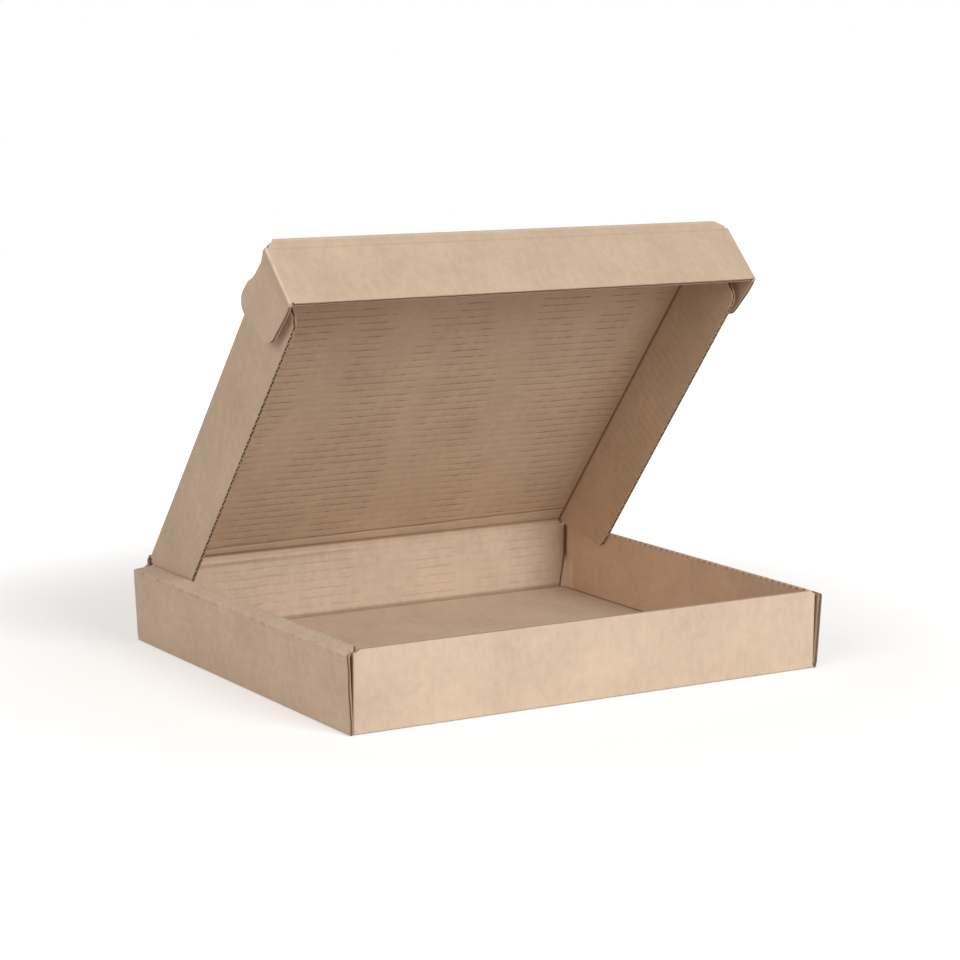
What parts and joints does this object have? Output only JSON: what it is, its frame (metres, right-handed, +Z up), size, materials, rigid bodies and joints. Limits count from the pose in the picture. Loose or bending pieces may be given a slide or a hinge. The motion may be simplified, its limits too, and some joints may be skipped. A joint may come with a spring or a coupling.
{
  "type": "shallow shipping box",
  "caption": "Shallow folded shipping box of brown corrugated board, with rolled-over side walls and a hinged lid with side flaps and a front flap with locking ears.",
  "frame": {"origin": "middle of the tray's underside, on the surface that the box stands on", "axes": "+X along the width of the front wall, +Y from the front wall to the rear wall and the lid's hinge, +Z up"},
  "size_m": [0.3652, 0.296, 0.2911],
  "materials": {
    "tray_board": "matt brown kraft liner",
    "lid_board": "matt brown kraft liner with washboard lines",
    "flap_board": "matt brown kraft liner"
  },
  "bodies": {
    "tray": {"tray": "tray_board"},
    "lid": {"lid_panel": "lid_board"},
    "side_flap_left": {"lid_side_flap_left": "lid_board"},
    "side_flap_right": {"lid_side_flap_right": "lid_board"},
    "front_flap": {"front_tuck_flap": "flap_board"},
    "ear_left": {"locking_ear_left": "flap_board"},
    "ear_right": {"locking_ear_right": "flap_board"}
  },
  "joints": [
    {"name": "lid_hinge", "type": "hinge", "parent": "tray", "child": "lid", "pos_m": [0, 0.14665, 0.0553], "axis": [-1, 0, 0], "range_deg": [-41.3, 127.7]},
    {"name": "front_flap_hinge", "type": "hinge", "parent": "lid", "child": "front_flap", "pos_m": [0, -0.03454, 0.28974], "axis": [-1, 0, 0], "range_deg": [0, 97]},
    {"name": "left_ear_hinge", "type": "hinge", "parent": "front_flap", "child": "ear_left", "pos_m": [-0.17845, -0.03454, 0.28974], "axis": [0, 0.7108, 0.7034], "range_deg": [0, 90]},
    {"name": "right_ear_hinge", "type": "hinge", "parent": "front_flap", "child": "ear_right", "pos_m": [0.17845, -0.03454, 0.28974], "axis": [0, -0.7108, -0.7034], "range_deg": [0, 90]},
    {"name": "left_side_flap_hinge", "type": "hinge", "parent": "lid", "child": "side_flap_left", "pos_m": [-0.1684, 0.1455, 0.05441], "axis": [0, -0.6115, 0.7912], "range_deg": [0, 86]},
    {"name": "right_side_flap_hinge", "type": "hinge", "parent": "lid", "child": "side_flap_right", "pos_m": [0.1684, 0.1455, 0.05441], "axis": [0, 0.6115, -0.7912], "range_deg": [0, 86]}
  ]
}
